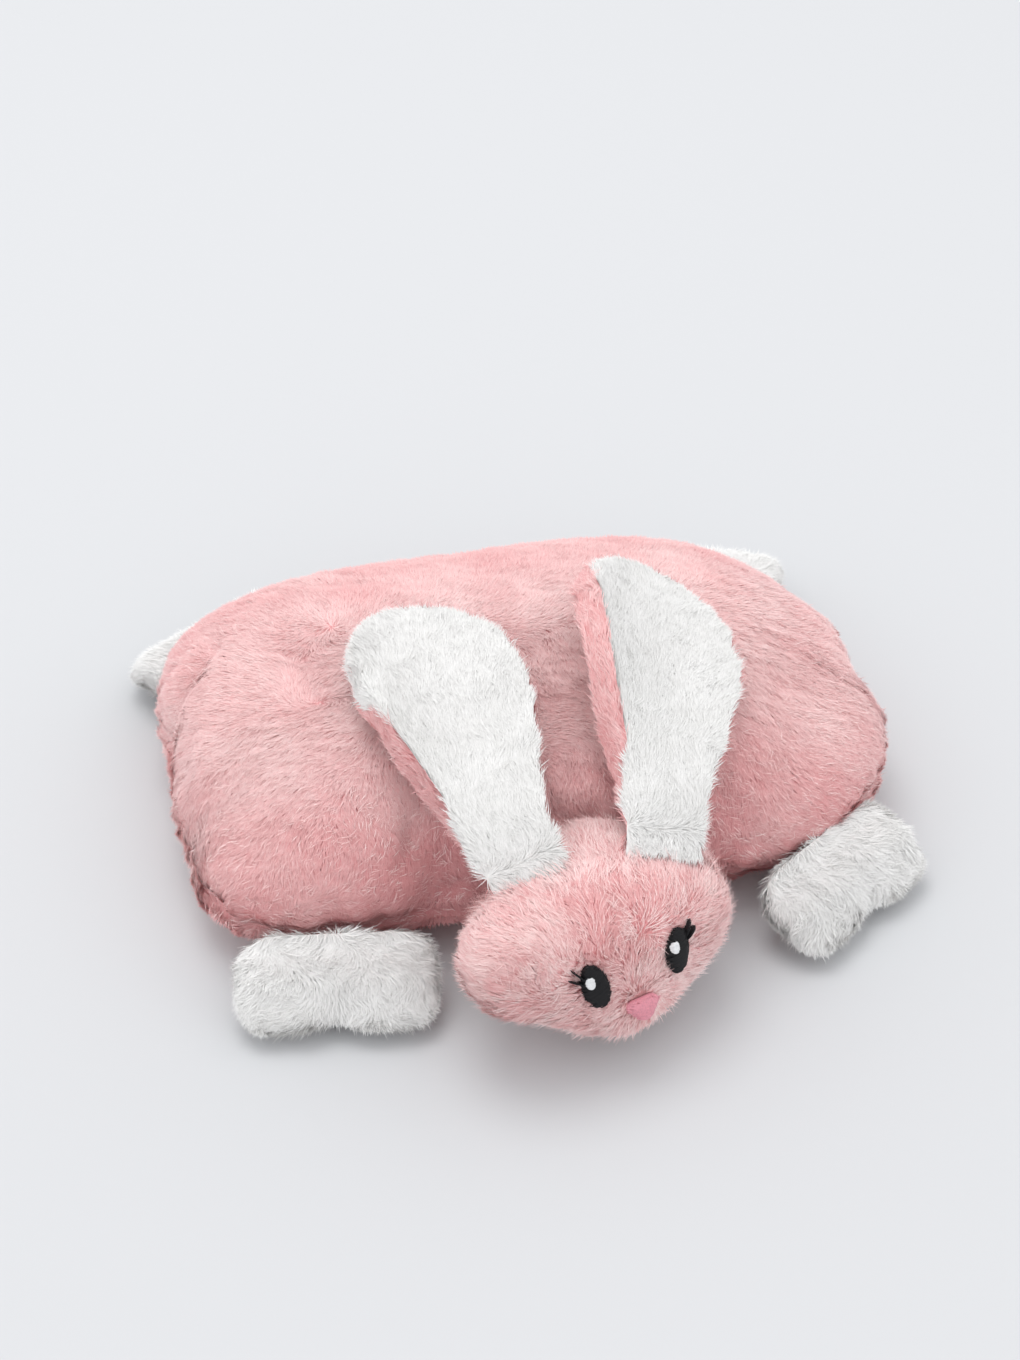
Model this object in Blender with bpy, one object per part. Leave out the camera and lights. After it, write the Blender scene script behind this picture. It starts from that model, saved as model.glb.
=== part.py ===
"""A cushion-shaped plush bunny lying on its belly: a puffed fur cushion with a head, two long ears, four flat paws
and a pompom tail sewn to its edge. Metres, +Z up, nose towards -Y, origin on the floor under the cushion's middle."""

import math

import bmesh
import bpy
from mathutils import Matrix, Vector

# Cushion
CUSHION_HALF_WIDTH = 0.2145
CUSHION_HALF_DEPTH = 0.147
SEAM_HEIGHT = 0.044
CUSHION_RISE = 0.075  # crown above the seam
CUSHION_SWELL = 1.1  # how soon the top falls away towards the seam: 1 is an ellipse
BELLY_BULGE = 0.03  # how far the lower panel swells out past the seam, as a share of the half sizes
# Superellipse power of the seam's outline towards each corner: the corners are stuffed unevenly
FRONT_LEFT_SQUARENESS = 6.2
FRONT_RIGHT_SQUARENESS = 3.2
BACK_LEFT_SQUARENESS = 4.4
BACK_RIGHT_SQUARENESS = 2.9
CROWN_SQUARENESS = 2.1  # and of the rounder outline near the crown
FLAT_SHARE = 0.72  # part of the underside that lies flat on the floor
COVER_THICKNESS = 0.003  # knitted backing with its pile pressed down
STUFFING_INSET = 0.0075

# Head
HEAD_CENTRE = Vector((-0.003, -0.201, 0.0545))
HEAD_HALF_WIDTH = 0.078
HEAD_RISE = 0.050
HEAD_DROP = 0.0370
HEAD_FRONT = 0.042
HEAD_BACK = 0.045
HEAD_SQUARENESS = 2.2
HEAD_YAW = math.radians(17)  # rests turned a little to its own left
HEAD_ROLL = math.radians(-1)
HEAD_FULLNESS = 0.86  # under 1, the head is boxier than an ellipsoid
NECK_PIVOT = Vector((-0.003, -0.166, 0.060))
MUZZLE_OUT = 0.011
MUZZLE_DROP = 0.024
MUZZLE_SPREAD = 0.019
NECK_BULGE = 0.030  # stuffed neck reaching back over the cushion's front edge
NECK_HEIGHT = 0.033
NECK_SIDE = 0.021  # the neck stays in the middle of the cushion when the head turns
NECK_SPREAD = Vector((0.024, 0.015))

# Embroidery
THREAD = 0.0012
STITCH_GAP = 0.0008
EYE_HALF = Vector((0.0074, 0.0122))
EYE_SPACING = 0.0248
EYE_HEIGHT = 0.0180
EYE_LEAN = math.radians(9)
HIGHLIGHT_HALF = 0.0031
LASH_HALF = Vector((0.0062, 0.0011))
NOSE_HALF = Vector((0.0092, 0.0066))
NOSE_HEIGHT = -0.0030

# Ears
EAR_LENGTH = 0.213
EAR_HALF_WIDTH = 0.0475
EAR_ROOT_HALF_WIDTH = 0.020
EAR_WIDEST = 0.62  # share of the length at which an ear is widest
EAR_HALF_THICKNESS = 0.0066
EAR_BACK_SHARE = 1.3  # the pink back bulges more than the white front
EAR_ARCH = 0.010
EAR_CUP = 0.017
EAR_COVER = 0.0016
EAR_GATHER_RADIUS = 0.0030
EAR_START = 0.0040  # an ear begins this far from its hinge axis
EARS = {
    # side: (hinge, lift, tilt of the hinge, heading, twist along the ear)
    "left": (Vector((-0.0365, -0.187, 0.1040)), 6.5, -14, 8.0, -18),
    "right": (Vector((0.0410, -0.183, 0.1070)), 7.0, 12, -9.0, -24),
}

# Paws
PAW_WIDTH = 0.110
PAW_REACH = 0.053
PAW_HALF_THICKNESS = 0.0115
PAW_NOTCH = 0.15
PAW_ROOT_HEIGHT = 0.045
PAW_PITCH = (math.radians(-64), math.radians(-14))  # at the root and at the toes
PAW_COVER = 0.0022
PAWS = {
    # name: (root x, root y, heading of the toes anticlockwise from +Y)
    "front_left": (-0.1425, -0.1560, 171),
    "front_right": (0.1560, -0.1410, 213),
    "back_left": (-0.1680, 0.1360, 32),
    "back_right": (0.1610, 0.1450, -22),
}

# Tail
TAIL_CENTRE = Vector((-0.003, 0.1720, 0.034))
TAIL_RADIUS = 0.0205
TAIL_COVER = 0.0022
TAIL_OPENING = 0.22  # share of the ball left open where it is sewn on

PANEL_GAP = 0.00018  # half the gap between two panels sewn edge to edge

# colour (linear), roughness
PINK_FUR = ((0.71, 0.38, 0.38), 0.9)
WHITE_FUR = ((0.87, 0.86, 0.83), 0.9)
STUFFING = ((0.90, 0.90, 0.88), 0.95)
BLACK_THREAD = ((0.012, 0.011, 0.012), 0.45)
WHITE_THREAD = ((0.88, 0.88, 0.88), 0.45)
NOSE_THREAD = ((0.66, 0.13, 0.24), 0.5)


def start_empty():
    for old in list(bpy.data.objects):
        bpy.data.objects.remove(old, do_unlink=True)
    collection = bpy.data.collections.new("stuffed_bunny")
    bpy.context.scene.collection.children.link(collection)
    return collection


def make_material(name, colour, roughness):
    material = bpy.data.materials.new(name)
    material.use_nodes = True
    shader = material.node_tree.nodes["Principled BSDF"]
    shader.inputs["Base Color"].default_value = (*colour, 1)
    shader.inputs["Roughness"].default_value = roughness
    shader.inputs["Metallic"].default_value = 0
    return material


def smoothstep(value):
    value = min(max(value, 0), 1)
    return value * value * (3 - 2 * value)


def superellipse(angle, half_x, half_y, power):
    """Distance from the middle of a superellipse to its edge, in the direction of the angle."""
    across = abs(math.cos(angle) / half_x) ** power
    along = abs(math.sin(angle) / half_y) ** power
    return (across + along) ** (-1 / power)


def steps(first, last, count):
    return [first + (last - first) * index / count for index in range(count + 1)]


class Builder:
    def __init__(self, collection):
        self.collection = collection

    def pivot(self, name, location, rotation=(0, 0, 0), parent=None):
        """An empty on a joint's axis, which the moving pieces hang from."""
        empty = bpy.data.objects.new(name, None)
        empty.empty_display_size = 0.02
        empty.location = location
        empty.rotation_euler = rotation
        empty.parent = parent
        self.collection.objects.link(empty)
        return empty

    def finish(self, name, mesh_data, fabric, parent):
        bmesh.ops.remove_doubles(mesh_data, verts=mesh_data.verts, dist=1e-6)
        bmesh.ops.recalc_face_normals(mesh_data, faces=mesh_data.faces)
        mesh = bpy.data.meshes.new(name)
        mesh_data.to_mesh(mesh)
        mesh_data.free()
        mesh.shade_smooth()
        mesh.set_sharp_from_angle(angle=math.radians(50))
        mesh.materials.append(make_material(name, *fabric))
        piece = bpy.data.objects.new(name, mesh)
        piece.parent = parent
        self.collection.objects.link(piece)
        return piece

    def panel(self, name, form, around, along, depth, fabric, parent=None, shift=(0, 0, 0)):
        """A sewn panel: the part of a soft form between two angles around it and two places along it, lofted between
        its outer face and the face one cover's thickness inside it. form(angle, place, inset) gives a point."""
        shift = Vector(shift)
        whole_turn = abs(around[-1] - around[0]) > 2 * math.pi - 1e-6
        mesh_data = bmesh.new()
        outer, inner = (
            [[mesh_data.verts.new(form(a, s, inset) + shift) for a in around] for s in along] for inset in depth
        )
        for grid in (outer, inner):
            for row, next_row in zip(grid, grid[1:]):
                for i in range(len(around) - 1):
                    mesh_data.faces.new((row[i], row[i + 1], next_row[i + 1], next_row[i]))
        edges = [(outer[0], inner[0]), (outer[-1], inner[-1])]
        if not whole_turn:
            edges += [([row[i] for row in outer], [row[i] for row in inner]) for i in (0, -1)]
        for outside, inside in edges:
            if (outside[0].co - outside[len(outside) // 2].co).length < 1e-6:
                continue  # the rows meet in one point here, so there is no rim
            for i in range(len(outside) - 1):
                mesh_data.faces.new((outside[i], outside[i + 1], inside[i + 1], inside[i]))
        return self.finish(name, mesh_data, fabric, parent)

    def stuffing(self, name, form, around, along, inset, fabric, parent=None):
        """A closed soft body that fills a form to within the inset."""
        mesh_data = bmesh.new()
        grid = [[mesh_data.verts.new(form(a, s, inset)) for a in around] for s in along]
        for row, next_row in zip(grid, grid[1:]):
            for i in range(len(around) - 1):
                mesh_data.faces.new((row[i], row[i + 1], next_row[i + 1], next_row[i]))
        for row in (grid[0], grid[-1]):
            if (row[0].co - row[len(row) // 2].co).length > 1e-6:
                mesh_data.faces.new(row[:-1])
        return self.finish(name, mesh_data, fabric, parent)


def corner_power(angle):
    """The seam's squareness in a direction, blended between the four corners."""
    right, back = (1 + math.cos(angle)) / 2, (1 + math.sin(angle)) / 2
    front_power = FRONT_LEFT_SQUARENESS + (FRONT_RIGHT_SQUARENESS - FRONT_LEFT_SQUARENESS) * right
    back_power = BACK_LEFT_SQUARENESS + (BACK_RIGHT_SQUARENESS - BACK_LEFT_SQUARENESS) * right
    return front_power + (back_power - front_power) * back


def cushion_form(angle, place, inset):
    """place runs from 0 at the crown, over 1 at the seam, to 2 in the middle of the underside."""
    seam_power = corner_power(angle)
    if place <= 1:
        lift = math.cos(place * math.pi / 2)
        spread = math.sin(place * math.pi / 2) ** CUSHION_SWELL
        power = CROWN_SQUARENESS + (seam_power - CROWN_SQUARENESS) * smoothstep(spread)
        height = SEAM_HEIGHT + (CUSHION_RISE - inset) * lift
    elif place <= 1.6:
        turn = (1.6 - place) / 0.6 * math.pi / 2
        spread = FLAT_SHARE + (1 - FLAT_SHARE) * math.sin(turn) + BELLY_BULGE * math.sin(2 * turn)
        power = seam_power
        height = SEAM_HEIGHT - (SEAM_HEIGHT - inset) * math.cos(turn)
    else:
        spread = FLAT_SHARE * (2 - place) / 0.4
        power = seam_power
        height = inset
    reach = superellipse(angle, CUSHION_HALF_WIDTH - inset, CUSHION_HALF_DEPTH - inset, power) * spread
    return Vector((reach * math.cos(angle), reach * math.sin(angle), height))


def muzzle(x, z):
    """How far the muzzle stands out in front of the round face."""
    return MUZZLE_OUT * math.exp(-(x**2 + (z + MUZZLE_DROP) ** 2) / (2 * MUZZLE_SPREAD**2))


def head_form(angle, place, inset):
    """place runs from 0 at the front of the face, over 1 at the ear-to-ear seam, to 2 at the nape."""
    rise = HEAD_RISE if math.sin(angle) > 0 else HEAD_DROP
    reach = superellipse(angle, HEAD_HALF_WIDTH - inset, rise - inset, HEAD_SQUARENESS)
    reach *= math.sin(min(place, 2 - place) * math.pi / 2) ** HEAD_FULLNESS
    x, z = reach * math.cos(angle), reach * math.sin(angle)
    bow = abs(math.cos(place * math.pi / 2)) ** HEAD_FULLNESS
    if place <= 1:
        y = -(HEAD_FRONT - inset) * bow - muzzle(x, z) * smoothstep(bow * 2)
    else:
        neck = math.exp(-0.5 * (((x - NECK_SIDE) / NECK_SPREAD.x) ** 2 + ((z - NECK_HEIGHT) / NECK_SPREAD.y) ** 2))
        y = (HEAD_BACK - inset) * bow + (NECK_BULGE - inset) * neck * smoothstep(bow * 1.6)
    return Vector((x, y, z))


def face_point(x, z):
    """The point of the round face in front of (x, z), in the head's frame."""
    rise = HEAD_RISE if z > 0 else HEAD_DROP
    edge = superellipse(math.atan2(z, x), HEAD_HALF_WIDTH, rise, HEAD_SQUARENESS)
    sine = min(math.hypot(x, z) / edge, 1) ** (1 / HEAD_FULLNESS)
    bow = math.sqrt(1 - sine**2) ** HEAD_FULLNESS
    return Vector((x, -HEAD_FRONT * bow - muzzle(x, z) * smoothstep(bow * 2), z))


def face_normal(x, z, span=0.0015):
    side = face_point(x + span, z) - face_point(x - span, z)
    up = face_point(x, z + span) - face_point(x, z - span)
    return side.cross(up).normalized()


def stitched_form(centre, half, lean, base, outline=lambda angle: 1):
    """A patch of stitching that follows the face: place runs from its middle to its edge, and the inset from its
    top down to its back, which lies base above the fur backing."""

    def form(angle, place, inset):
        across = half.x * outline(angle) * place * math.cos(angle)
        along = half.y * outline(angle) * place * math.sin(angle)
        x = centre.x + across * math.cos(lean) - along * math.sin(lean)
        z = centre.y + across * math.sin(lean) + along * math.cos(lean)
        dome = THREAD * (1 - 0.5 * place**4)
        return face_point(x, z) + face_normal(x, z) * (base + (0 if inset else dome))

    return form


def ear_half_width(place):
    if place < EAR_WIDEST:
        grown = smoothstep(0.06 + 0.94 * place / EAR_WIDEST)
        return EAR_ROOT_HALF_WIDTH + (EAR_HALF_WIDTH - EAR_ROOT_HALF_WIDTH) * grown
    beyond = (place - EAR_WIDEST) / (1 - EAR_WIDEST)
    return EAR_HALF_WIDTH * math.sqrt(max(1 - beyond**2, 0))


def ear_form(twist):
    """place runs from the root at 0 to the tip at 1; angles up to half a turn are on the white front."""

    def form(angle, place, inset):
        edge = max(ear_half_width(place) - inset, 0)
        thick = (EAR_HALF_THICKNESS - inset) * math.sqrt(max(1 - place**8, 0)) * (0.72 + 0.28 * smoothstep(place * 3))
        x, z = edge * math.cos(angle), thick * math.sin(angle)
        z *= EAR_BACK_SHARE if z < 0 else 2 - EAR_BACK_SHARE
        z += EAR_CUP * smoothstep(place * 2.5) * (1 - 0.5 * smoothstep(place * 2 - 1)) * (x / EAR_HALF_WIDTH) ** 2
        turn = twist * smoothstep(place * 2)
        x, z = x * math.cos(turn) - z * math.sin(turn), x * math.sin(turn) + z * math.cos(turn)
        z += 4 * EAR_ARCH * place * (1 - place)
        y = EAR_START + inset + (EAR_LENGTH - EAR_START - 2 * inset) * place
        return Vector((x, y, z))

    return form


def paw_form(angle, place, inset):
    """place runs across the paw from side to side; angles up to half a turn are on its upper side."""
    side = 2 * place - 1
    cap = max(1 - abs(side) ** 5, 0) ** 0.4
    toe = PAW_REACH * (1 - PAW_NOTCH * math.exp(-((side / 0.22) ** 2)))
    out = toe / 2 + (toe / 2 - inset) * cap * math.cos(angle)
    root_taper = 0.3 + 0.7 * smoothstep(out / PAW_REACH * 2)
    thick = (PAW_HALF_THICKNESS * root_taper - inset) * cap * math.sin(angle)
    bend = (PAW_PITCH[1] - PAW_PITCH[0]) / PAW_REACH
    pitch = PAW_PITCH[0] + bend * out
    y = (math.sin(pitch) - math.sin(PAW_PITCH[0])) / bend - thick * math.sin(pitch)
    z = (math.cos(PAW_PITCH[0]) - math.cos(pitch)) / bend + thick * math.cos(pitch)
    return Vector(((PAW_WIDTH / 2 - inset) * side, y, z))


def ball_form(radius):
    """place runs from 0 at the ball's far side to 2 where it is sewn on."""

    def form(angle, place, inset):
        turn = place * math.pi / 2
        size = radius - inset
        return Vector((size * math.sin(turn) * math.cos(angle), size * math.cos(turn), size * math.sin(turn) * math.sin(angle)))

    return form


def make_cushion(build):
    turn = steps(0, 2 * math.pi, 36)
    build.panel("cushion_top_panel", cushion_form, turn, steps(0, 1, 8), (0, COVER_THICKNESS), PINK_FUR,
                shift=(0, 0, PANEL_GAP))
    build.panel("cushion_bottom_panel", cushion_form, turn, steps(1, 1.6, 5) + [2], (0, COVER_THICKNESS), PINK_FUR,
                shift=(0, 0, 0))
    build.stuffing("cushion_stuffing", cushion_form, steps(0, 2 * math.pi, 36), steps(0, 1, 6) + [1.3, 1.6, 2],
                   STUFFING_INSET, STUFFING)


def make_head(build):
    neck = build.pivot("head_pivot", NECK_PIVOT)
    head = build.pivot("head_centre", HEAD_CENTRE - NECK_PIVOT, (0, HEAD_ROLL, HEAD_YAW), neck)
    quarter = math.pi / 2
    depth = (0, COVER_THICKNESS)
    build.panel("face_panel_left", head_form, steps(quarter, 3 * quarter, 12), steps(0, 1, 7), depth, PINK_FUR, head,
                (-PANEL_GAP, -PANEL_GAP, 0))
    build.panel("face_panel_right", head_form, steps(-quarter, quarter, 12), steps(0, 1, 7), depth, PINK_FUR, head,
                (PANEL_GAP, -PANEL_GAP, 0))
    build.panel("head_back_panel", head_form, steps(0, 4 * quarter, 24), steps(1, 2, 7), depth, PINK_FUR, head,
                (0, PANEL_GAP, 0))
    build.stuffing("head_stuffing", head_form, steps(0, 4 * quarter, 20), steps(0, 2, 12), STUFFING_INSET, STUFFING, head)
    turn = steps(0, 4 * quarter, 16)
    for side, sign in (("left", -1), ("right", 1)):
        centre = Vector((sign * EYE_SPACING, EYE_HEIGHT))
        eye = stitched_form(centre, EYE_HALF, sign * -EYE_LEAN, STITCH_GAP)
        build.panel("eye_" + side, eye, turn, steps(0, 1, 4), (0, 1), BLACK_THREAD, head)
        shine = stitched_form(centre + Vector((-0.0030, 0.0042)), Vector((HIGHLIGHT_HALF, HIGHLIGHT_HALF * 1.15)), 0,
                              2 * STITCH_GAP + THREAD)
        build.panel("eye_highlight_" + side, shine, turn, steps(0, 1, 2), (0, 1), WHITE_THREAD, head)
        for row, height, lean in (("upper", 0.0118, 46), ("lower", 0.0068, 22)):
            root = centre + Vector((sign * (0.0142 - 0.5 * (height - 0.0068)), height))
            lash = stitched_form(root, LASH_HALF, sign * math.radians(lean), STITCH_GAP)
            build.panel(f"eyelash_{row}_{side}", lash, steps(0, 4 * quarter, 10), steps(0, 1, 1), (0, 1), BLACK_THREAD, head)
    nose = stitched_form(Vector((0, NOSE_HEIGHT)), NOSE_HALF, 0, STITCH_GAP, lambda angle: 1 + 0.14 * math.cos(3 * angle - quarter))
    build.panel("nose", nose, turn, steps(0, 1, 3), (0, 1), NOSE_THREAD, head)
    return neck


def make_gather(build, name, half_length, parent):
    """The gathered root of an ear, a short round-ended roll stitched down along the ear's hinge line."""
    mesh_data = bmesh.new()
    radius = EAR_GATHER_RADIUS
    bmesh.ops.create_uvsphere(mesh_data, u_segments=10, v_segments=8, radius=radius,
                              matrix=Matrix.Rotation(math.pi / 2, 4, "Y"))
    for vertex in mesh_data.verts:
        if abs(vertex.co.x) > radius * 0.01:
            vertex.co.x += math.copysign(half_length - radius, vertex.co.x)
    build.finish(name, mesh_data, PINK_FUR, parent)


def make_ears(build, neck):
    half_turn = math.pi
    for side, (hinge, lift, tilt, heading, twist) in EARS.items():
        rotation = [math.radians(value) for value in (lift, tilt, heading)]
        pivot = build.pivot(f"ear_{side}_pivot", hinge - NECK_PIVOT, rotation, neck)
        make_gather(build, f"ear_{side}_gather", EAR_ROOT_HALF_WIDTH, pivot)
        form = ear_form(math.radians(twist))
        depth = (0, EAR_COVER)
        along = steps(0, 0.9, 9) + [0.96, 1]
        build.panel(f"ear_{side}_front", form, steps(0, half_turn, 8), along, depth, WHITE_FUR, pivot,
                    (0, 0, PANEL_GAP))
        build.panel(f"ear_{side}_back", form, steps(half_turn, 2 * half_turn, 8), along, depth, PINK_FUR, pivot,
                    (0, 0, -PANEL_GAP))
        build.stuffing(f"ear_{side}_wadding", form, steps(0, 2 * half_turn, 16), along[:-1],
                       EAR_COVER + 0.0009, STUFFING, pivot)


def make_paws(build):
    half_turn = math.pi
    across = [0.5 - 0.5 * math.cos(step) for step in steps(0, half_turn, 12)]
    for name, (x, y, heading) in PAWS.items():
        pivot = build.pivot(f"paw_{name}_pivot", (x, y, PAW_ROOT_HEIGHT), (0, 0, math.radians(heading)))
        depth = (0, PAW_COVER)
        build.panel(f"paw_{name}_upper", paw_form, steps(0, half_turn, 5), across, depth, WHITE_FUR, pivot,
                    (0, 0, PANEL_GAP))
        build.panel(f"paw_{name}_lower", paw_form, steps(half_turn, 2 * half_turn, 5), across, depth, WHITE_FUR, pivot,
                    (0, 0, -PANEL_GAP))
        build.stuffing(f"paw_{name}_stuffing", paw_form, steps(0, 2 * half_turn, 10), across[1:-1], PAW_COVER + 0.0008,
                       STUFFING, pivot)


def make_tail(build):
    pivot = build.pivot("tail_pivot", TAIL_CENTRE - Vector((0, TAIL_RADIUS, 0)))
    centre = build.pivot("tail_centre", (0, TAIL_RADIUS, 0), parent=pivot)
    form = ball_form(TAIL_RADIUS)
    turn = steps(0, 2 * math.pi, 14)
    build.panel("tail_cover", form, turn, steps(0, 2 - TAIL_OPENING, 7), (0, TAIL_COVER), WHITE_FUR, centre)
    build.stuffing("tail_stuffing", form, turn, steps(0, 2, 8), TAIL_COVER + 0.001, STUFFING, centre)


def main():
    build = Builder(start_empty())
    make_cushion(build)
    neck = make_head(build)
    make_ears(build, neck)
    make_paws(build)
    make_tail(build)
    bpy.context.view_layer.update()


main()
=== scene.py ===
"""A cushion-shaped plush bunny: its backing fabric, pile and stitching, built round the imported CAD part."""

import math

import bpy
import numpy as np
from mathutils import Euler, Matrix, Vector


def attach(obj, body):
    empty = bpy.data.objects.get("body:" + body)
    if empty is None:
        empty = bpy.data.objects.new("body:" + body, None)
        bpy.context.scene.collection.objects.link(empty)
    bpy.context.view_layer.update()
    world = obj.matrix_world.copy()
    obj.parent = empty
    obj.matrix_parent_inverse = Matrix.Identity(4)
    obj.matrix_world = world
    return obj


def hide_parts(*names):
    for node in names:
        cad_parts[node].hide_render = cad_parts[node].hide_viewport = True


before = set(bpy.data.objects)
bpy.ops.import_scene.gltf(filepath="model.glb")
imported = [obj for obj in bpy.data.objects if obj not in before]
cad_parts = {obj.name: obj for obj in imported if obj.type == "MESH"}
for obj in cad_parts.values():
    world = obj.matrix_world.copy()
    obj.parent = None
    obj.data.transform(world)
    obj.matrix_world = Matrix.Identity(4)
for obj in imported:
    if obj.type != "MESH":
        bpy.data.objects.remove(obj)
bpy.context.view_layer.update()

# ---------------------------------------------------------------- forms, as the CAD part has them

HALF_WIDTH, HALF_DEPTH, SEAM_HEIGHT, RISE, SWELL = 0.2145, 0.147, 0.044, 0.075, 1.1
BELLY_BULGE, CROWN_SQUARENESS, FLAT_SHARE = 0.03, 2.1, 0.72
CORNERS = (6.2, 3.2, 4.4, 2.9)  # squareness of the front left, front right, back left and back right corner

HEAD_CENTRE = np.array((-0.003, -0.201, 0.0545))
HEAD_TURN = Euler((0, math.radians(-1), math.radians(17))).to_matrix()
HEAD_HALF_WIDTH, HEAD_RISE, HEAD_DROP, HEAD_FRONT, HEAD_BACK = 0.078, 0.050, 0.037, 0.042, 0.045
HEAD_SQUARENESS, HEAD_FULLNESS = 2.2, 0.86
MUZZLE_OUT, MUZZLE_DROP, MUZZLE_SPREAD = 0.011, 0.024, 0.019
NECK_BULGE, NECK_HEIGHT, NECK_SIDE, NECK_SPREAD = 0.030, 0.033, 0.021, (0.024, 0.015)

EAR_LENGTH, EAR_HALF_WIDTH, EAR_ROOT, EAR_WIDEST = 0.213, 0.0475, 0.020, 0.62
EAR_THICK, EAR_ARCH, EAR_CUP, EAR_START = 0.0066, 0.010, 0.017, 0.004
EARS = {
    # hinge, (lift, tilt, heading) in degrees, twist along the ear, roll and stretch of its left edge, and the
    # place up to which that edge shows the pink back
    "left": ((-0.0365, -0.187, 0.1040), (6.5, -14, 8.0), -18, 0.42, 1.04, 0.74),
    "right": ((0.0410, -0.183, 0.1070), (7.0, 12, -9.0), -18, 0.62, 1.18, 1.04),
}

PAW_WIDTH, PAW_REACH, PAW_THICK, PAW_NOTCH, PAW_ROOT_HEIGHT = 0.110, 0.053, 0.0115, 0.12, 0.045
PAW_PITCH = (math.radians(-64), math.radians(-14))
PAWS = {
    # root x, root y, heading of the toes in degrees anticlockwise from +Y
    "front_left": (-0.1425, -0.1560, 171),
    "front_right": (0.1560, -0.1410, 213),
    "back_left": (-0.1680, 0.1360, 32),
    "back_right": (0.1610, 0.1450, -22),
}
PAW_SHIFT = {
    # how far the photo shows each paw from its place in the CAD
    "front_left": (0.002, 0.003, 0),
    "front_right": (-0.007, 0.003, 0),
    "back_left": (0.003, -0.006, 0.002),
    "back_right": (-0.011, -0.008, 0),
}
TAIL_CENTRE, TAIL_RADIUS = np.array((-0.003, 0.161, 0.030)), 0.0190

PILE_DEPTH = 0.0045  # how far the backing fabric lies inside the CAD surface
COVER_FLOOR, PILE_FLOOR = 0.0022, 0.0004  # the lowest that the cover and the pile reach above the floor


def smoothstep(value):
    value = np.clip(value, 0, 1)
    return value * value * (3 - 2 * value)


def superellipse(angle, half_x, half_y, power):
    return (np.abs(np.cos(angle) / half_x) ** power + np.abs(np.sin(angle) / half_y) ** power) ** (-1 / power)


def corner_power(angle):
    right, back = (1 + np.cos(angle)) / 2, (1 + np.sin(angle)) / 2
    front_power = CORNERS[0] + (CORNERS[1] - CORNERS[0]) * right
    back_power = CORNERS[2] + (CORNERS[3] - CORNERS[2]) * right
    return front_power + (back_power - front_power) * back


def cushion_form(angle, place, inset):
    """place: 0 crown, 1 seam, 2 middle of the underside."""
    seam_power = corner_power(angle)
    over = np.clip(place, 0, 1) * math.pi / 2
    spread_top = np.sin(over) ** SWELL
    turn = np.clip(1.6 - place, 0, 0.6) / 0.6 * math.pi / 2
    spread_side = FLAT_SHARE + (1 - FLAT_SHARE) * np.sin(turn) + BELLY_BULGE * np.sin(2 * turn)
    spread_flat = FLAT_SHARE * (2 - place) / 0.4
    top, side = place <= 1, (place > 1) & (place <= 1.6)
    spread = np.where(top, spread_top, np.where(side, spread_side, spread_flat))
    crown_power = CROWN_SQUARENESS + (seam_power - CROWN_SQUARENESS) * smoothstep(spread_top)
    power = np.where(top, crown_power, seam_power)
    over_seam = SEAM_HEIGHT + (RISE - inset) * np.cos(over)
    under_seam = SEAM_HEIGHT - (SEAM_HEIGHT - inset) * np.cos(turn)
    height = np.where(place > 1.6, inset, np.where(top, over_seam, under_seam))
    reach = superellipse(angle, HALF_WIDTH - inset, HALF_DEPTH - inset, power) * spread
    return np.stack((reach * np.cos(angle), reach * np.sin(angle), height), -1)


def muzzle(x, z):
    return MUZZLE_OUT * np.exp(-(x**2 + (z + MUZZLE_DROP) ** 2) / (2 * MUZZLE_SPREAD**2))


def head_form(angle, place, inset):
    """place: 0 front of the face, 1 ear-to-ear seam, 2 nape."""
    rise = np.where(np.sin(angle) > 0, HEAD_RISE, HEAD_DROP)
    reach = superellipse(angle, HEAD_HALF_WIDTH - inset, rise - inset, HEAD_SQUARENESS)
    reach = reach * np.sin(np.clip(np.minimum(place, 2 - place), 0, 1) * math.pi / 2) ** HEAD_FULLNESS
    x, z = reach * np.cos(angle), reach * np.sin(angle)
    bow = np.abs(np.cos(place * math.pi / 2)) ** HEAD_FULLNESS
    neck = np.exp(-0.5 * (((x - NECK_SIDE) / NECK_SPREAD[0]) ** 2 + ((z - NECK_HEIGHT) / NECK_SPREAD[1]) ** 2))
    front = -(HEAD_FRONT - inset) * bow - muzzle(x, z) * smoothstep(bow * 2)
    back = (HEAD_BACK - inset) * bow + (NECK_BULGE - inset) * neck * smoothstep(bow * 1.6)
    return np.stack((x, np.where(place <= 1, front, back), z), -1)


def face_point(x, z):
    rise = np.where(z > 0, HEAD_RISE, HEAD_DROP)
    edge = superellipse(np.arctan2(z, x), HEAD_HALF_WIDTH, rise, HEAD_SQUARENESS)
    sine = np.minimum(np.hypot(x, z) / edge, 1) ** (1 / HEAD_FULLNESS)
    bow = np.sqrt(1 - sine**2) ** HEAD_FULLNESS
    return np.stack((x, -HEAD_FRONT * bow - muzzle(x, z) * smoothstep(bow * 2), z), -1)


def face_normal(x, z, span=0.0015):
    side = face_point(x + span, z) - face_point(x - span, z)
    up = face_point(x, z + span) - face_point(x, z - span)
    return unit(np.cross(side, up))


def ear_half_width(place):
    grown = smoothstep(0.06 + 0.94 * place / EAR_WIDEST)
    beyond = np.clip((place - EAR_WIDEST) / (1 - EAR_WIDEST), 0, 1)
    tip = EAR_HALF_WIDTH * np.sqrt(1 - beyond**2.5)
    return np.where(place < EAR_WIDEST, EAR_ROOT + (EAR_HALF_WIDTH - EAR_ROOT) * grown, tip)


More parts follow.
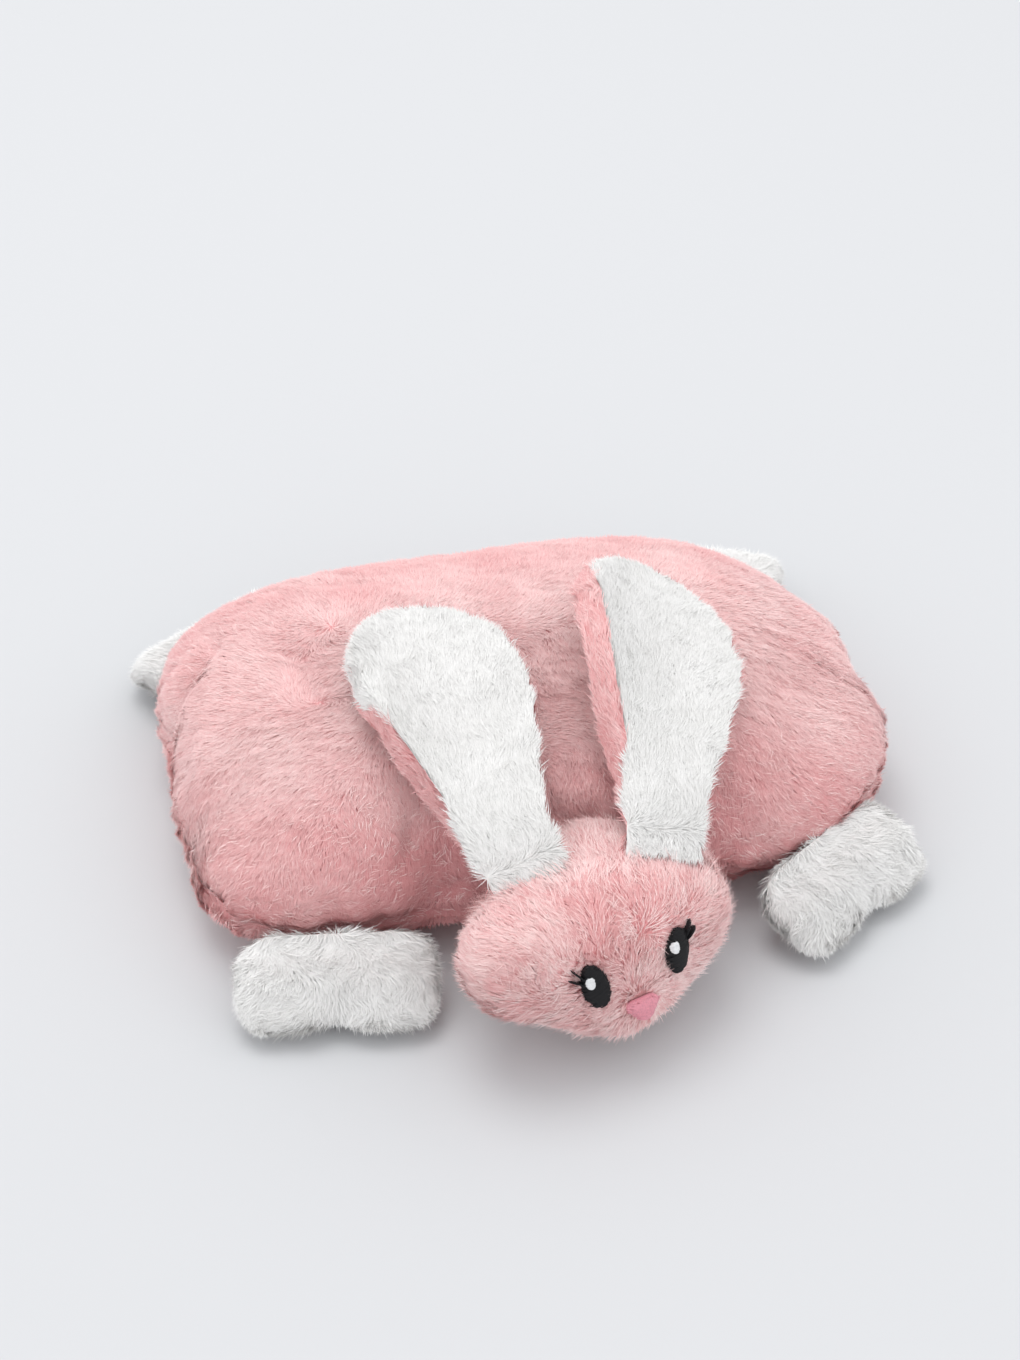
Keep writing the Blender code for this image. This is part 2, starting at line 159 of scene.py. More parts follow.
def ear_form(twist, rolled, widened):
    """place: 0 root, 1 tip; angles up to half a turn are on the white front. The edge nearer the other body side
    is rolled over by an angle and stretched, so that the pink back shows beside the white front."""

    def form(angle, place, inset):
        edge = np.maximum(ear_half_width(place) - inset, 0)
        thick = (EAR_THICK - inset) * np.sqrt(np.clip(1 - place**8, 0, 1)) * (0.72 + 0.28 * smoothstep(place * 3))
        x, z = edge * np.cos(angle), thick * np.sin(angle)
        z = np.where(z < 0, 1.3, 0.7) * z
        crest = math.cos(rolled)
        past = np.clip((-np.cos(angle) - crest) / (1 - crest), 0, 1)
        z = z - 0.013 * past**1.5 * smoothstep(place * 4) * smoothstep((1 - place) * 4)
        stretch = 1 + (widened - 1) * smoothstep(place * 2) + 0.32 * smoothstep(1 - place * 3.5)
        x = np.where(x < 0, stretch, 1) * x
        cup = np.where(x < 0, 2 - widened, 1) * smoothstep(place * 2.5) * (1 - 0.5 * smoothstep(place * 2 - 1))
        z = z + EAR_CUP * cup * (x / EAR_HALF_WIDTH) ** 2
        turn = math.radians(twist) * smoothstep(place * 2)
        x, z = x * np.cos(turn) - z * np.sin(turn), x * np.sin(turn) + z * np.cos(turn)
        z = z + 4 * EAR_ARCH * place * (1 - place) - 0.007 * smoothstep((0.075 - place) / 0.11)
        y = EAR_START + inset + (EAR_LENGTH - EAR_START - 2 * inset) * place
        return np.stack((x, y, z), -1)

    return form


def paw_form(angle, place, inset):
    """place: from side to side; angles up to half a turn are on the upper side."""
    side = 2 * place - 1
    cap = np.clip(1 - np.abs(side) ** 9, 0, 1) ** 0.5
    toe = PAW_REACH * (1 - PAW_NOTCH * np.exp(-((side / 0.22) ** 2)))
    out = toe / 2 + (toe / 2 - inset) * cap * np.cos(angle)
    thick = (PAW_THICK * (0.3 + 0.7 * smoothstep(out / PAW_REACH * 2)) - inset) * cap * np.sin(angle)
    bend = (PAW_PITCH[1] - PAW_PITCH[0]) / PAW_REACH
    pitch = PAW_PITCH[0] + bend * out
    y = (np.sin(pitch) - math.sin(PAW_PITCH[0])) / bend - thick * np.sin(pitch)
    z = (math.cos(PAW_PITCH[0]) - np.cos(pitch)) / bend + thick * np.cos(pitch)
    return np.stack(((PAW_WIDTH / 2 - inset) * side, y, z), -1)


def ball_form(angle, place, inset):
    turn, size = place * math.pi / 2, TAIL_RADIUS - inset
    ring = size * np.sin(turn)
    return np.stack((ring * np.cos(angle), size * np.cos(turn), ring * np.sin(angle)), -1)


# ---------------------------------------------------------------- small tools


def unit(vectors):
    return vectors / np.maximum(np.linalg.norm(vectors, axis=-1, keepdims=True), 1e-12)


def ripple(points, wavelength, seed, waves=12):
    """A smooth random field of about unit strength, the same each run."""
    chance = np.random.default_rng(seed)
    way = unit(chance.normal(size=(waves, 3))) * (2 * math.pi / wavelength)
    way = way * chance.uniform(0.6, 1.5, (waves, 1))
    return np.sin(points @ way.T + chance.uniform(0, 2 * math.pi, waves)).sum(1) * math.sqrt(2 / waves)


def placed(points, turn, origin):
    return points @ np.array(turn).T + np.array(origin)


def mesh_object(name, points, corners, sides, materials, shade=None):
    """A mesh from flat arrays: the corners of all faces in a row, how many sides each face has, and its material."""
    mesh = bpy.data.meshes.new(name)
    mesh.vertices.add(len(points))
    mesh.vertices.foreach_set("co", np.asarray(points, np.float32).ravel())
    mesh.loops.add(len(corners))
    mesh.loops.foreach_set("vertex_index", np.asarray(corners, np.int32).ravel())
    mesh.polygons.add(len(sides))
    mesh.polygons.foreach_set("loop_start", np.concatenate(([0], np.cumsum(sides)[:-1])).astype(np.int32))
    if shade is not None:
        mesh.polygons.foreach_set("material_index", np.asarray(shade, np.int32))
    mesh.update(calc_edges=True)
    mesh.validate()
    mesh.shade_smooth()
    for material in materials:
        mesh.materials.append(material)
    made = bpy.data.objects.new(name, mesh)
    bpy.context.scene.collection.objects.link(made)
    return made


def lofted(name, form, angles, places, inset, turn, origin, materials):
    """A skin over part of a form, from rings of points at places along it. Whole rings get a face at either end."""
    whole = abs(angles[-1] - angles[0]) > 2 * math.pi - 1e-6
    around = angles[:-1] if whole else angles
    grid_angle, grid_place = np.meshgrid(around, places)
    rows, columns = grid_angle.shape
    grid = grid_angle.ravel(), grid_place.ravel()
    # the form a little further in tells which way is out
    points, inner = (placed(form(*grid, depth), turn, origin) for depth in (inset, inset + 0.0005))
    index = np.arange(rows * columns).reshape(rows, columns)
    following = np.roll(index, -1, 1) if whole else index[:, 1:]
    index = index if whole else index[:, :-1]
    quads = np.stack((index[:-1], following[:-1], following[1:], index[1:]), -1).reshape(-1, 4)
    facing = np.cross(points[quads[:, 2]] - points[quads[:, 0]], points[quads[:, 3]] - points[quads[:, 1]])
    inward = (facing * (points - inner)[quads[:, 0]]).sum() < 0
    quads = quads[:, ::-1] if inward else quads
    corners, sides = list(quads.ravel()), [4] * len(quads)
    if whole:
        for row, flip in ((0, True), (rows - 1, False)):
            ring = list(np.arange(row * columns, (row + 1) * columns))
            corners += ring[::-1] if flip != inward else ring
            sides.append(len(ring))
    return mesh_object(name, points, corners, sides, materials)


def surface_of(skin):
    """Points, triangles and point normals of a skin as it is shown."""
    evaluated = skin.evaluated_get(bpy.context.evaluated_depsgraph_get())
    mesh = evaluated.to_mesh()
    mesh.calc_loop_triangles()
    points, triangles = np.zeros(len(mesh.vertices) * 3), np.zeros(len(mesh.loop_triangles) * 3, np.int32)
    mesh.vertices.foreach_get("co", points)
    mesh.loop_triangles.foreach_get("vertices", triangles)
    points, triangles = points.reshape(-1, 3), triangles.reshape(-1, 3)
    evaluated.to_mesh_clear()
    first, second, third = (points[triangles[:, k]] for k in range(3))
    face = np.cross(second - first, third - first)
    normals = np.zeros_like(points)
    for corner in range(3):
        np.add.at(normals, triangles[:, corner], face)
    return points, triangles, unit(normals)


# ---------------------------------------------------------------- materials

WARM_SHEEN = (1, 0.93, 0.92)


def new_material(name, roughness, sheen, sheen_tint):
    material = bpy.data.materials.new(name)
    material.use_nodes = True
    shader = material.node_tree.nodes["Principled BSDF"]
    shader.inputs["Roughness"].default_value = roughness
    shader.inputs["Sheen Weight"].default_value = sheen
    shader.inputs["Sheen Roughness"].default_value = 0.4
    shader.inputs["Sheen Tint"].default_value = (*sheen_tint, 1)
    shader.inputs["Specular IOR Level"].default_value = 0.25
    return material, material.node_tree, shader


def fibre_material(name, colour):
    material, _, shader = new_material(name, 0.6, 0.2, WARM_SHEEN)
    shader.inputs["Base Color"].default_value = (*colour, 1)
    return material


def knit_material(name, deep, pale):
    """The knitted backing that shows between the fibres: a fine mottled weave."""
    material, tree, shader = new_material(name, 0.85, 0.3, WARM_SHEEN)
    where = tree.nodes.new("ShaderNodeTexCoord")
    loops = tree.nodes.new("ShaderNodeTexVoronoi")
    loops.inputs["Scale"].default_value = 420
    cloud = tree.nodes.new("ShaderNodeTexNoise")
    cloud.inputs["Scale"].default_value = 38
    cloud.inputs["Detail"].default_value = 4
    blend = tree.nodes.new("ShaderNodeMath")
    blend.operation = "MULTIPLY_ADD"
    blend.inputs[1].default_value = 0.5
    ramp = tree.nodes.new("ShaderNodeValToRGB")
    ramp.color_ramp.elements[0].position, ramp.color_ramp.elements[1].position = 0.25, 0.95
    ramp.color_ramp.elements[0].color, ramp.color_ramp.elements[1].color = (*deep, 1), (*pale, 1)
    bump = tree.nodes.new("ShaderNodeBump")
    bump.inputs["Strength"].default_value, bump.inputs["Distance"].default_value = 0.6, 0.0006
    link = tree.links.new
    link(where.outputs["Object"], loops.inputs["Vector"])
    link(where.outputs["Object"], cloud.inputs["Vector"])
    link(loops.outputs["Distance"], blend.inputs[0])
    link(cloud.outputs["Fac"], blend.inputs[2])
    link(blend.outputs[0], ramp.inputs["Fac"])
    link(ramp.outputs["Color"], shader.inputs["Base Color"])
    link(loops.outputs["Distance"], bump.inputs["Height"])
    link(bump.outputs["Normal"], shader.inputs["Normal"])
    return material


def shades(name, dark, light, count):
    """Fibre materials from dark to light, in even steps."""
    made = []
    for i in range(count):
        colour = [d + (p - d) * i / (count - 1) for d, p in zip(dark, light)]
        made.append(fibre_material(f"{name}_{i + 1}", colour))
    return made


# the pink backing is darker than the pile: its own pink with painted shade between the fibres
PINK_KNIT_PAINTED_SHADE = knit_material("pink_knit_painted_shade", (0.62, 0.22, 0.23), (0.80, 0.38, 0.38))
WHITE_KNIT = knit_material("white_knit", (0.74, 0.72, 0.69), (0.88, 0.87, 0.85))
PINK_PILE = shades("pink_pile", (0.80, 0.34, 0.345), (0.975, 0.765, 0.745), 7)
WHITE_PILE = shades("white_pile", (0.77, 0.765, 0.745), (0.885, 0.88, 0.865), 4)


def thread_material(name, colour, roughness, sheen):
    material, tree, shader = new_material(name, roughness, sheen, (1, 1, 1))
    where = tree.nodes.new("ShaderNodeTexCoord")
    twist = tree.nodes.new("ShaderNodeTexNoise")
    twist.inputs["Scale"].default_value = 900
    ramp = tree.nodes.new("ShaderNodeValToRGB")
    ramp.color_ramp.elements[0].color = (*[c * 0.7 for c in colour], 1)
    ramp.color_ramp.elements[1].color = (*[min(c * 1.25, 0.95) for c in colour], 1)
    tree.links.new(where.outputs["Object"], twist.inputs["Vector"])
    tree.links.new(twist.outputs["Fac"], ramp.inputs["Fac"])
    tree.links.new(ramp.outputs["Color"], shader.inputs["Base Color"])
    return material


BLACK_THREAD = thread_material("black_thread", (0.008, 0.0075, 0.009), 0.5, 0.0)
WHITE_THREAD = thread_material("white_thread", (0.86, 0.87, 0.90), 0.4, 0.1)
NOSE_THREAD = thread_material("nose_thread", (0.72, 0.30, 0.36), 0.5, 0.3)

# ---------------------------------------------------------------- pile


def fibres(surface, count, length, rise, nap, seed, bend, stray, tuft, gather, weight=None, bare=None):
    """Curved fibres rooted all over a surface: their root, middle and tip points, the surface's normal at each
    root and the number of each one's lock. rise is the angle off the surface, bend how much steeper the lower half
    is and stray how far they turn from the nap, in radians; nap(points, normals) is the way they lie, tuft the
    size of the locks, and gather how far the tips of a lock draw together."""
    chance = np.random.default_rng(seed)
    points, triangles, normals = surface
    corner = points[triangles]
    area = np.linalg.norm(np.cross(corner[:, 1] - corner[:, 0], corner[:, 2] - corner[:, 0]), axis=1)
    if weight is not None:
        area = area * weight(corner.mean(1))
    chosen = chance.choice(len(area), count, p=area / area.sum())
    u, v = chance.random((2, count))
    u, v = np.where(u + v > 1, 1 - u, u), np.where(u + v > 1, 1 - v, v)
    share = np.stack((1 - u - v, u, v), -1)[:, :, None]
    root = (corner[chosen] * share).sum(1)
    normal = unit((normals[triangles[chosen]] * share).sum(1))
    if bare is not None:
        kept = ~bare(root)
        root, normal = root[kept], normal[kept]
    along = nap(root, normal)
    along = unit(along - (along * normal).sum(1, keepdims=True) * normal)
    across = np.cross(normal, along)
    sway = stray * chance.normal(size=len(root)) + stray * 0.9 * ripple(root, 0.022, seed + 1)
    along = along * np.cos(sway)[:, None] + across * np.sin(sway)[:, None]
    size = length(root) if callable(length) else np.full(len(root), length)
    size = size * chance.uniform(0.65, 1.15, len(root))
    lift = rise(root) if callable(rise) else np.full(len(root), rise)
    lift = lift * (1 + 0.18 * chance.normal(size=len(root))) + 0.06 * ripple(root, 0.012, seed + 2)

    def step(angle):
        return (size / 2)[:, None] * (normal * np.sin(angle)[:, None] + along * np.cos(angle)[:, None])

    middle = root + step(np.clip(lift + bend, 0.05, 1.5))
    tip = middle + step(np.clip(lift - bend, -0.15, 1.3))
    warped = root + 0.35 * tuft * np.stack([ripple(root, tuft * 1.7, seed + k) for k in (3, 4, 5)], -1)
    _, lock = np.unique(np.floor(warped / tuft).astype(np.int64), axis=0, return_inverse=True)
    lock = lock.ravel()
    members = np.bincount(lock)[:, None]
    heart = np.stack([np.bincount(lock, tip[:, k]) for k in range(3)], -1) / members
    middle = middle + (heart[lock] - tip) * gather * 0.35
    tip = tip + (heart[lock] - tip) * gather
    return root, middle, tip, normal, lock


def fibre_object(name, strand, width, tone, materials, skin, step=1, roll=0.14):
    """Flat tapering fibres as one mesh, which goes with its skin. tone, from 0 to 1, picks each one's shade, and
    its outer half is some steps paler. roll is how far they turn about their length, in radians. They take their
    shading mostly from the way their skin faces, as a dense pile does."""
    root, middle, tip, normal, _ = strand
    count = len(root)
    chance = np.random.default_rng(count)
    way = unit(middle - root)
    side = unit(np.cross(way, normal))
    above = np.cross(side, way)
    roll = roll * chance.normal(size=(count, 1))
    side, above = side * np.cos(roll) + above * np.sin(roll), above * np.cos(roll) - side * np.sin(roll)
    half = side * width * chance.uniform(0.35, 0.65, (count, 1))
    points = np.stack((root - half, root + half, middle - half * 0.85, middle + half * 0.85, tip), 1)
    points[:, 2:, 2] = np.maximum(points[:, 2:, 2], PILE_FLOOR)
    facing = unit(normal * 0.72 + above * 0.28 + way * 0.10)
    start = np.arange(count)[:, None] * 5
    corners = np.concatenate([(start + np.array(face)).ravel() for face in ((0, 1, 3, 2), (2, 3, 4))])
    sides = np.concatenate((np.full(count, 4), np.full(count, 3)))
    shade = np.clip((tone * len(materials)).astype(int), 0, len(materials) - 1)
    shade = np.concatenate((shade, np.minimum(shade + step, len(materials) - 1)))
    made = mesh_object(name, points.reshape(-1, 3), corners, sides, materials, shade)
    made.data.normals_split_custom_set_from_vertices(np.repeat(facing, 5, axis=0).astype(np.float32))
    made.parent = skin
    return made


def long_hairs(name, skin, count, length, rise, nap, seed, level, materials, bare=None, weight=None):
    """The sparser, longer hairs that stand out of a coat and make its fringe."""
    strand = fibres(surface_of(skin), dense(count), length, rise, nap, seed,
                    bend=0.12, stray=0.40, tuft=0.005, gather=0.35, weight=weight, bare=bare)
    fibre_object(name, strand, 0.00040, tone_of(strand, seed + 1, level), materials, skin)


def part_of(strand, chosen):
    return tuple(values[chosen] for values in strand)


def dense(count):
    """The number of fibres to make, as given."""
    return count


def tone_of(strand, seed, base, cloud=0.07, lock_spread=0.06, fine=0.09):
    """Each fibre's tone: a base, soft patches, and differences between locks and between fibres."""
    root, lock = strand[0], strand[4]
    chance = np.random.default_rng(seed)
    by_lock = chance.normal(size=lock.max() + 1)[lock]
    tone = base + cloud * ripple(root, 0.05, seed + 7) + lock_spread * by_lock
    return tone + fine * chance.normal(size=len(root))


# ---------------------------------------------------------------- cushion


def inflated(skin, pressure=4.0, limit=0.006, voxel=0.006, frames=20):
    """Blows the skin up as cloth and keeps the result, with no point moved further than the limit."""
    remesh = skin.modifiers.new("remesh", "REMESH")
    remesh.mode, remesh.voxel_size, remesh.use_smooth_shade = "VOXEL", voxel, True
    apply_modifiers(skin)
    start = np.zeros(len(skin.data.vertices) * 3)
    skin.data.vertices.foreach_get("co", start)
    start = start.reshape(-1, 3)
    cloth = skin.modifiers.new("cloth", "CLOTH")
    settings = cloth.settings
    settings.quality = 4
    settings.mass = 0.3
    settings.tension_stiffness = settings.compression_stiffness = 12
    settings.bending_stiffness = 0.6
    settings.use_pressure = True
    settings.uniform_pressure_force = pressure
    settings.effector_weights.gravity = 0
    cloth.collision_settings.use_collision = False
    cloth.point_cache.frame_start, cloth.point_cache.frame_end = 1, frames
    scene = bpy.context.scene
    for step in range(1, frames + 1):
        scene.frame_set(step)
    apply_modifiers(skin)
    scene.frame_set(1)
    moved = np.zeros(len(start) * 3)
    skin.data.vertices.foreach_get("co", moved)
    shift = moved.reshape(-1, 3) - start
    far = np.linalg.norm(shift, axis=1, keepdims=True)
    shift *= np.minimum(1, limit / np.maximum(far, 1e-9))
    skin.data.vertices.foreach_set("co", (start + shift).astype(np.float32).ravel())
    refine = skin.modifiers.new("refine", "SUBSURF")
    refine.levels = refine.render_levels = 1
    apply_modifiers(skin)
    skin.data.shade_smooth()


def apply_modifiers(thing):
    """Replaces a mesh by what its modifiers make of it."""
    evaluated = thing.evaluated_get(bpy.context.evaluated_depsgraph_get())
    result = bpy.data.meshes.new_from_object(evaluated)
    materials = list(thing.data.materials)
    thing.modifiers.clear()
    thing.data = result
    result.materials.clear()
    for material in materials:
        result.materials.append(material)


FOLDS = [
    # ends in plan, half width, depth: the creases pressed into the cover
    ((-0.214, 0.010), (-0.168, 0.055), 0.007, 0.0050),
    ((-0.208, -0.105), (-0.178, -0.132), 0.006, 0.0040),
    ((-0.012, -0.119), (0.012, -0.122), 0.004, 0.0030),
    ((-0.085, -0.118), (-0.060, -0.150), 0.012, 0.0060),
    ((0.080, -0.120), (0.110, -0.140), 0.010, 0.0040),
]
DIMPLES = [
    # centre in plan, half width, depth; the first one is raised instead
    ((0.010, -0.124), 0.028, -0.0090),
    ((0.025, -0.033), 0.012, 0.0022),
    ((-0.009, 0.073), 0.014, 0.0012),
    ((0.119, -0.120), 0.016, 0.0040),
]
CORNER_PUSHES = [
    # heading and spread in degrees, push outwards: the corners aren't filled evenly
    (42, 22, -0.003),
    (-18, 26, 0.011),
    (162, 32, 0.011),
    (-150, 24, 0.008),
]


def from_line(plan, start, end):
    """Distance from points in plan to a line between two ends."""
    start, end = np.array(start), np.array(end)
    way = end - start
    share = np.clip((plan - start) @ way / (way @ way), 0, 1)
    return np.linalg.norm(plan - start - share[:, None] * way, axis=1)


def shape_cushion(points, normals):
    """Presses the seam, its puckers, folds and dimples into the inflated cover, and pushes its corners."""
    points = points.copy()
    plan, height = points[:, :2], points[:, 2]
    angle = np.arctan2(plan[:, 1], plan[:, 0])
    around = np.arctan2(plan[:, 1] / HALF_DEPTH, plan[:, 0] / HALF_WIDTH)
    outline = superellipse(angle, HALF_WIDTH, HALF_DEPTH, corner_power(angle))
    outer = smoothstep((np.linalg.norm(plan, axis=1) / outline - 0.8) / 0.12)
    front = smoothstep((-plan[:, 1] - 0.10) / 0.03)
    sag = SEAM_HEIGHT - 0.004 + 0.003 * np.sin(3 * around + 1) - 0.010 * front
    near = np.exp(-(((height - sag) / 0.0055) ** 2)) * outer
    wide = np.exp(-(((height - sag) / 0.020) ** 2)) * outer
    pucker = ripple(np.stack((around * 0.2, around * 0 + 0.3, around * 0), -1), 0.016, 31)
    depth = 0.0042 * near * (1 - 0.2 * front) + 0.0010 * wide * pucker
    top = smoothstep((height - 0.03) / 0.02)
    for start, end, half, deep in FOLDS:
        depth = depth + deep * np.exp(-((from_line(plan, start, end) / half) ** 2)) * top
    for centre, half, deep in DIMPLES:
        depth = depth + deep * np.exp(-((np.linalg.norm(plan - centre, axis=1) / half) ** 2)) * top
    uneven = smoothstep((height - 0.02) / 0.03) * smoothstep((0.09 - plan[:, 1]) / 0.07)
    depth = depth - 0.0016 * ripple(points, 0.11, 41) * uneven
    points = points - normals * depth[:, None]
    broad = smoothstep((np.linalg.norm(plan / (HALF_WIDTH, HALF_DEPTH), axis=1) - 0.45) / 0.5)
    for way, spread, push in CORNER_PUSHES:
        off = (np.degrees(around) - way + 180) % 360 - 180
        points[:, :2] += (unit(plan) * push) * (np.exp(-((off / spread) ** 2)) * broad)[:, None]
    points[:, 2] = np.maximum(points[:, 2], COVER_FLOOR)
    return points


def cushion_nap(points, normals):
    """The pile is brushed from the left to the front right, and falls outwards at the sides and the back."""
    outward = points * (1 / HALF_WIDTH, 1 / HALF_DEPTH, 0)
    edge = smoothstep((np.linalg.norm(outward, axis=1, keepdims=True) - 0.35) / 0.5)
    way = np.array((0.55, -0.70, -0.15)) * (1 - 0.8 * edge) + outward * (0.3 + 0.9 * edge)
    way[:, 1] += 1.3 * smoothstep((points[:, 1] + 0.06) / 0.12) * (1 - edge[:, 0])
    swirl = np.stack([ripple(points, 0.09, k) for k in (51, 52, 53)], -1)
    back = smoothstep((points[:, 1:2] - 0.03) / 0.06)
    way = way + 0.32 * swirl * (1 - 0.8 * back) + back * (0, 0.8, 0)
    way[normals[:, 2] < -0.3] = outward[normals[:, 2] < -0.3]
    return way


def make_cushion():
    places = np.concatenate((np.linspace(0.03, 1, 36), np.linspace(1.05, 1.6, 12), np.linspace(1.68, 1.97, 6)))
    angles = np.linspace(0, 2 * math.pi, 145)
    skin = lofted("cushion_cover", cushion_form, angles, places, PILE_DEPTH, np.eye(3), (0, 0, 0), [PINK_KNIT_PAINTED_SHADE])
    inflated(skin)
    points, _, normals = surface_of(skin)
    skin.data.vertices.foreach_set("co", shape_cushion(points, normals).astype(np.float32).ravel())
    skin.data.update()
    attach(skin, "cushion")
    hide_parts("cushion_top_panel", "cushion_bottom_panel", "cushion_stuffing")
    surface = surface_of(skin)

    def weight(where):
        return 0.22 + 0.78 * smoothstep((where[:, 2] - 0.004) / 0.012)

    def length(where):
        return 0.0080 * (0.3 + 0.7 * smoothstep((where[:, 2] - 0.002) / 0.02))

    def rise(where):
        off_floor, back = smoothstep((where[:, 2] - 0.002) / 0.02), smoothstep((where[:, 1] - 0.05) / 0.05)
        return 0.08 + 0.14 * off_floor + 0.20 * back

    strand = fibres(surface, dense(470000), length, rise, cushion_nap, 100,
                    bend=0.07, stray=0.20, tuft=0.0030, gather=0.12, weight=weight)
    root = strand[0]
    # painted light and shade in the pile's tone: lighter on the crown, darker on the back crown, along the front and
    # in the valleys beside the head
    shade_by_head = np.exp(-((np.abs(root[:, 0]) - 0.075) / 0.03) ** 2 - ((root[:, 1] + 0.135) / 0.03) ** 2)
    crown = smoothstep((root[:, 2] - 0.05) / 0.06)
    back, front = smoothstep((root[:, 1] - 0.02) / 0.08), smoothstep(-(root[:, 1] + 0.06) / 0.07)
    lit = 0.46 + 0.10 * crown - 0.22 * back - 0.26 * front - 0.3 * shade_by_head
    tone = tone_of(strand, 101, lit, cloud=0.05, lock_spread=0.03, fine=0.06)
    sector = (np.degrees(np.arctan2(root[:, 1], root[:, 0])) // 36).astype(int) + 5
    for k in range(10):
        chosen = sector == k
        fibre_object(f"cushion_pile_{k + 1}", part_of(strand, chosen), 0.00042, tone[chosen], PINK_PILE, skin,
                     roll=0.05)

    def outer(where):
        return smoothstep((np.hypot(where[:, 0] / HALF_WIDTH, where[:, 1] / HALF_DEPTH) - 0.72) / 0.2)

    def outwards(points, normals):
        return points * (1 / HALF_WIDTH, 1 / HALF_DEPTH, 0) + (0, 0, 0.3)

    long_hairs("cushion_long_hairs", skin, 16000, 0.0085, 0.40, outwards, 120, 0.60, PINK_PILE,
               weight=outer)


# ---------------------------------------------------------------- head


def to_head(points):
    return (points - HEAD_CENTRE) @ np.array(HEAD_TURN)


def from_head(points):
    return placed(points, HEAD_TURN, HEAD_CENTRE)


EYE_HALF, EYE_SPACING, EYE_HEIGHT, EYE_LEAN = np.array((0.0074, 0.0122)), 0.0248, 0.0180, math.radians(9)
RIGHT_EYE_OUT = 0.0018  # the photo shows the right eye this much further out
HIGHLIGHT_PLACE, HIGHLIGHT_HALF = (-0.0030, 0.0042), np.array((0.0027, 0.0032))
LASH_HALF = np.array((0.0044, 0.00034))
LASHES = (("upper", 0.0086, 46), ("lower", 0.0054, 24))  # height above the eye's middle, lean in degrees
NOSE_HALF, NOSE_HEIGHT = np.array((0.0092, 0.0056)), -0.0030
STITCH_LEVEL, PAD_SIDES = 0.0008, 32


def eye_centre(sign):
    return sign * EYE_SPACING + (RIGHT_EYE_OUT if sign > 0 else 0), EYE_HEIGHT


def patch_share(x, z, centre, half, lean):
    """How far a point is from a patch's middle, as a share of the way to its edge."""
    dx, dz = x - centre[0], z - centre[1]
    across, along = dx * math.cos(lean) + dz * math.sin(lean), dz * math.cos(lean) - dx * math.sin(lean)
    return np.hypot(across / half[0], along / half[1])


def patches():
    for sign in (-1, 1):
        yield eye_centre(sign), EYE_HALF, -sign * EYE_LEAN
    yield (0.0, NOSE_HEIGHT), NOSE_HALF, 0.0


def from_patches(local):
    """How far points are from the nearest stitched patch, as a share of the way to its edge."""
    return np.min([patch_share(local[:, 0], local[:, 2], *patch) for patch in patches()], axis=0)


def head_nap(points, normals):
    """The pile is brushed away from the nose, over the forehead and down the chin."""
    local = to_head(points)
    nose = np.array((0, -HEAD_FRONT, NOSE_HEIGHT))
    away = unit(local - nose) + np.array((0, 0.25, 0.05))
    crown = smoothstep(1 - np.linalg.norm((local - (0.004, -0.030, 0.034)) / (0.03, 0.03, 0.022), axis=1))
    swirl = np.stack([ripple(local, 0.026, k) for k in (61, 62, 63)], -1)
    away = away + swirl * (0.22 + 1.1 * crown)[:, None]
    return away @ np.array(HEAD_TURN).T


def make_head():
    places = np.concatenate((np.linspace(0.05, 0.95, 22), np.linspace(1, 1.95, 22)))
    angles = np.linspace(0, 2 * math.pi, 97)
    skin = lofted("head_cover", head_form, angles, places, PILE_DEPTH, HEAD_TURN, HEAD_CENTRE, [PINK_KNIT_PAINTED_SHADE])
    # the photo's left cheek is higher than the CAD's, and the upper head is wider
    local = to_head(surface_of(skin)[0])
    side, low = smoothstep((-local[:, 0] - 0.018) / 0.04), smoothstep(-local[:, 2] / 0.03)
    local[:, 2] += side * (0.009 + 0.009 * low)
    local[:, 0] *= 1 + 0.06 * smoothstep((local[:, 2] + 0.010) / 0.03)
    skin.data.vertices.foreach_set("co", from_head(local).astype(np.float32).ravel())
    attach(skin, "head")
    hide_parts("face_panel_left", "face_panel_right", "head_back_panel", "head_stuffing")

    def length(where):
        local = to_head(where)
        front = local[:, 1] < -0.01
        close = from_patches(local)
        trimmed = 0.50 + 0.50 * smoothstep((close - 1.0) / 1.4)
        roots = [np.array(hinge[:2]) for hinge, *_ in EARS.values()]
        by_ear = [from_line(where[:, :2], root - (0.018, 0), root + (0.018, 0)) for root in roots]
        longer = 1 + 0.4 * smoothstep((0.016 - np.min(by_ear, axis=0)) / 0.01)
        return 0.0125 * np.where(front, trimmed, longer)

    def bare(where):
        local = to_head(where)
        close = from_patches(local)
        return (local[:, 1] < -0.01) & (close < 0.74)

    def rise(where):
        local = to_head(where)
        close = from_patches(local)
        return 0.28 + 0.36 * smoothstep((1.5 - close) / 0.4) * (local[:, 1] < -0.01)

    strand = fibres(surface_of(skin), dense(105000), length, rise, head_nap, 200,
                    bend=0.16, stray=0.26, tuft=0.0065, gather=0.45, bare=bare)
    local = to_head(strand[0])
    crown = smoothstep(1 - np.linalg.norm((local - (0.000, -0.030, 0.040)) / (0.042, 0.045, 0.030), axis=1))
    tone = tone_of(strand, 201, 0.40 - 1.2 * crown, cloud=0.08, lock_spread=0.12, fine=0.12)
    front, left = local[:, 1] < 0, local[:, 0] < 0
    kinds = (("face_pile_left", front & left), ("face_pile_right", front & ~left), ("head_back_pile", ~front))
    for name, chosen in kinds:
        fibre_object(name, part_of(strand, chosen), 0.00050, tone[chosen], PINK_PILE, skin, step=2)

    def fringe(where):
        return length(where) * 1.08

    long_hairs("head_long_hairs", skin, 17000, fringe, 0.48, head_nap, 220, 0.62, PINK_PILE, bare=bare)


# ---------------------------------------------------------------- stitching


def tube_corners(first, rings, sides):
    """The corners of the quads between rings of points, from the number of the first point."""
    index = first + np.arange(rings * sides).reshape(rings, sides)
    beside = np.roll(index, -1, 1)
    return np.stack((index[:-1], beside[:-1], beside[1:], index[1:]), -1).reshape(-1)


